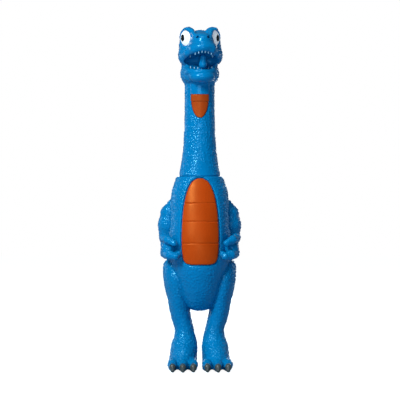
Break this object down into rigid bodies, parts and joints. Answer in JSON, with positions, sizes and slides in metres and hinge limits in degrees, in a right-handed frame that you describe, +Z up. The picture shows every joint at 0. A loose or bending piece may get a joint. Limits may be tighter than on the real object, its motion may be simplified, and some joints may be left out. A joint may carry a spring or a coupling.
{
  "type": "squeaky toy dinosaur",
  "caption": "Hollow soft-vinyl toy dinosaur with a long turning neck, an open toothed mouth, ribbed belly plate, moulded arms, clawed feet and a tail, and a reed voice in the neck.",
  "frame": {"origin": "on the floor under the middle of the box around the toy; the neck's axis stands 23.6 mm in front of it because the tail reaches back", "axes": "+Z up along the neck, -Y the way the belly and toes point, +X the toy's own left"},
  "size_m": [0.072, 0.1216, 0.3],
  "materials": {
    "blue_vinyl": "glossy soft vinyl, pebbled",
    "orange_vinyl": "glossy soft vinyl, smooth",
    "claw_grey": "glossy",
    "eye_white": "glossy",
    "pupil_black": "glossy",
    "voice_plastic": "moulded",
    "reed_film": "thin film"
  },
  "bodies": {
    "body": {"torso_shell": "blue_vinyl", "belly_plate": "orange_vinyl", "left_arm": "blue_vinyl", "right_arm": "blue_vinyl", "left_leg": "blue_vinyl", "right_leg": "blue_vinyl", "left_claw_1": "claw_grey", "left_claw_2": "claw_grey", "left_claw_3": "claw_grey", "right_claw_1": "claw_grey", "right_claw_2": "claw_grey", "right_claw_3": "claw_grey", "tail": "blue_vinyl"},
    "head_neck": {"head_neck_shell": "blue_vinyl", "throat_plate": "orange_vinyl", "left_eye": "eye_white", "right_eye": "eye_white", "left_pupil": "pupil_black", "right_pupil": "pupil_black", "voice_housing": "voice_plastic", "voice_clamp": "voice_plastic", "voice_cap": "voice_plastic"},
    "reed": {"voice_reed": "reed_film"}
  },
  "joints": [
    {"name": "neck_swivel", "type": "hinge", "parent": "body", "child": "head_neck", "pos_m": [0, -0.0236, 0.168], "axis": [0, 0, 1], "continuous": true},
    {"name": "reed_bend", "type": "hinge", "parent": "head_neck", "child": "reed", "pos_m": [-0.0065, -0.0236, 0.1728], "axis": [0, 1, 0], "range_deg": [-4, 4], "stiffness_Nm_per_rad": 0.0005}
  ]
}
